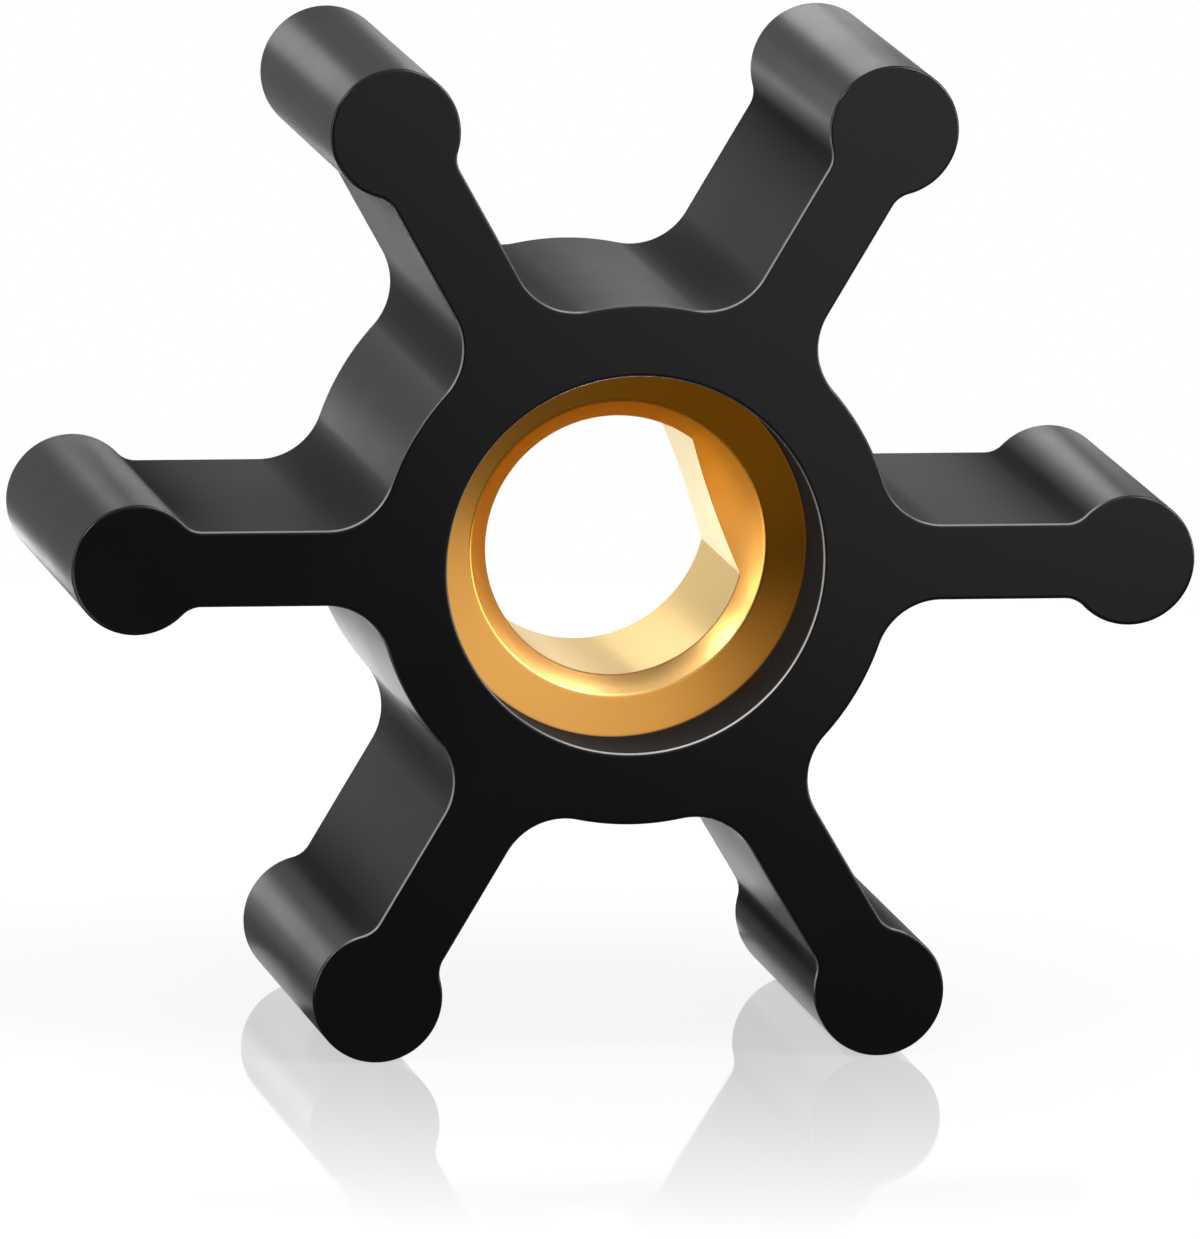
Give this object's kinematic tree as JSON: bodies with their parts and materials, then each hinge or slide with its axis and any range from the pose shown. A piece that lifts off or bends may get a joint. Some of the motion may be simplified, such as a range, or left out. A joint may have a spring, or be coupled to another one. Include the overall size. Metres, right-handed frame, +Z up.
{
  "type": "rubber pump impeller",
  "caption": "Flexible rubber pump impeller with bulb-tipped blades and a recessed brass insert, bored for a shaft with a flat on one side.",
  "frame": {"origin": "on the bore's axis, half-way between the two end faces", "axes": "Y along the bore, with the front face towards -Y; +Z up, standing on the two lowest blade tips; X along two of the blades"},
  "size_m": [0.0432, 0.016, 0.0382],
  "materials": {
    "rubber": "satin moulded",
    "brass": "turned and broached"
  },
  "bodies": {
    "root": {"rubber_body": "rubber", "brass_insert": "brass"}
  },
  "joints": []
}
